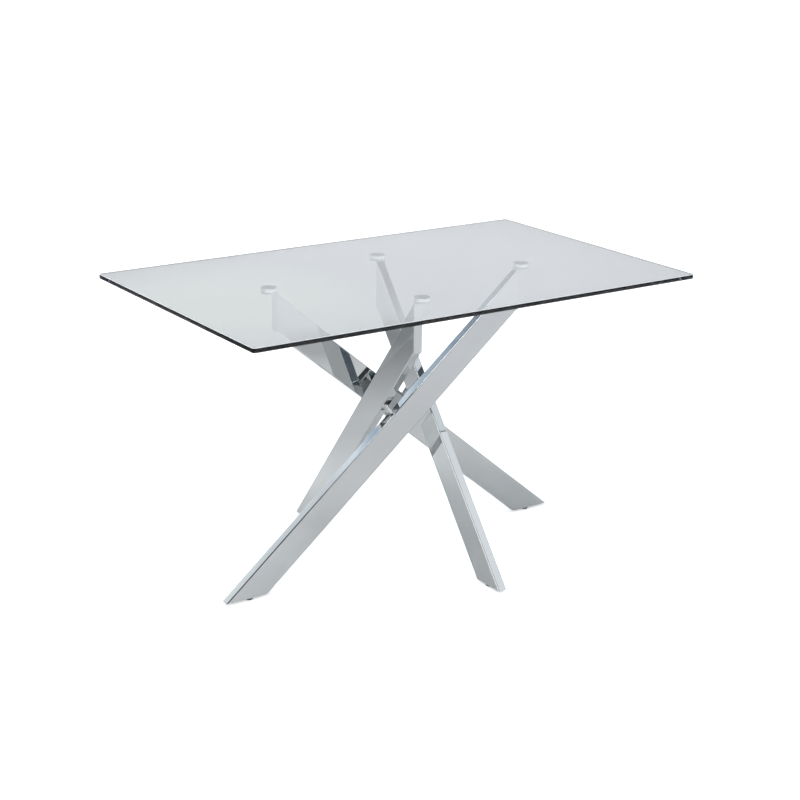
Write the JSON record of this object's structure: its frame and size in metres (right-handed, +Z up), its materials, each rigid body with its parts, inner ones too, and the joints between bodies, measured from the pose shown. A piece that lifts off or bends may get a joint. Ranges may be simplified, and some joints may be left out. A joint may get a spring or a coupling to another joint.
{
  "type": "dining table",
  "caption": "Glass-top dining table: one clear rectangular sheet on crossed chrome tube legs, each with a disc under the glass and a screw-in levelling glide.",
  "frame": {"origin": "on the floor, below the middle of the table", "axes": "+X along the long side, +Y along the short side, +Z up"},
  "size_m": [1.3, 0.8, 0.765],
  "materials": {
    "glass": "clear float glass, polished faces and edges",
    "chrome": "bright chrome plate on steel",
    "disc_steel": "turned and polished steel disc",
    "zinc_steel": "zinc-plated steel hardware",
    "black_plastic": "moulded black plastic, fine texture"
  },
  "bodies": {
    "root": {"access_plug_left": "black_plastic", "access_plug_right": "black_plastic", "crossing_bolt_left": "zinc_steel", "crossing_bolt_right": "zinc_steel", "crossing_post_left": "chrome", "crossing_post_right": "chrome", "crossing_washer_left": "zinc_steel", "crossing_washer_right": "zinc_steel", "crossing_weld_back": "chrome", "crossing_weld_front": "chrome", "disc_plate_back": "chrome", "disc_plate_front": "chrome", "disc_plate_left": "chrome", "disc_plate_right": "chrome", "disc_screw_back": "zinc_steel", "disc_screw_front": "zinc_steel", "disc_screw_left": "zinc_steel", "disc_screw_right": "zinc_steel", "foot_nut_back": "zinc_steel", "foot_nut_front": "zinc_steel", "foot_nut_left": "zinc_steel", "foot_nut_right": "zinc_steel", "foot_plate_back": "zinc_steel", "foot_plate_front": "zinc_steel", "foot_plate_left": "zinc_steel", "foot_plate_right": "zinc_steel", "glass_disc_back": "disc_steel", "glass_disc_front": "disc_steel", "glass_disc_left": "disc_steel", "glass_disc_right": "disc_steel", "glass_top": "glass", "leg_back": "chrome", "leg_cap_back": "chrome", "leg_cap_front": "chrome", "leg_cap_left": "chrome", "leg_cap_right": "chrome", "leg_front": "chrome", "leg_left": "chrome", "leg_right": "chrome"},
    "glide_left": {"glide_pad_left": "black_plastic"},
    "stem_left": {"glide_stem_left": "zinc_steel"},
    "glide_back": {"glide_pad_back": "black_plastic"},
    "stem_back": {"glide_stem_back": "zinc_steel"},
    "glide_right": {"glide_pad_right": "black_plastic"},
    "stem_right": {"glide_stem_right": "zinc_steel"},
    "glide_front": {"glide_pad_front": "black_plastic"},
    "stem_front": {"glide_stem_front": "zinc_steel"}
  },
  "joints": [
    {"name": "glide_left_travel", "type": "slide", "parent": "root", "child": "glide_left", "axis": [0, 0, -1], "range_m": [0, 0.01]},
    {"name": "glide_left_turn", "type": "hinge", "parent": "glide_left", "child": "stem_left", "pos_m": [-0.48446, -0.0595, 0.02], "axis": [0, 0, -1], "range_deg": [0, 2880]},
    {"name": "glide_back_travel", "type": "slide", "parent": "root", "child": "glide_back", "axis": [0, 0, -1], "range_m": [0, 0.01]},
    {"name": "glide_back_turn", "type": "hinge", "parent": "glide_back", "child": "stem_back", "pos_m": [-0.077, 0.3192, 0.02], "axis": [0, 0, -1], "range_deg": [0, 2880]},
    {"name": "glide_right_travel", "type": "slide", "parent": "root", "child": "glide_right", "axis": [0, 0, -1], "range_m": [0, 0.01]},
    {"name": "glide_right_turn", "type": "hinge", "parent": "glide_right", "child": "stem_right", "pos_m": [0.48446, 0.0595, 0.02], "axis": [0, 0, -1], "range_deg": [0, 2880]},
    {"name": "glide_front_travel", "type": "slide", "parent": "root", "child": "glide_front", "axis": [0, 0, -1], "range_m": [0, 0.01]},
    {"name": "glide_front_turn", "type": "hinge", "parent": "glide_front", "child": "stem_front", "pos_m": [0.077, -0.3192, 0.02], "axis": [0, 0, -1], "range_deg": [0, 2880]}
  ],
  "couplings": [
    {"joint": "glide_left_turn", "follows": "glide_left_travel", "rad_per_m": 5026.5},
    {"joint": "glide_back_turn", "follows": "glide_back_travel", "rad_per_m": 5026.5},
    {"joint": "glide_right_turn", "follows": "glide_right_travel", "rad_per_m": 5026.5},
    {"joint": "glide_front_turn", "follows": "glide_front_travel", "rad_per_m": 5026.5}
  ]
}
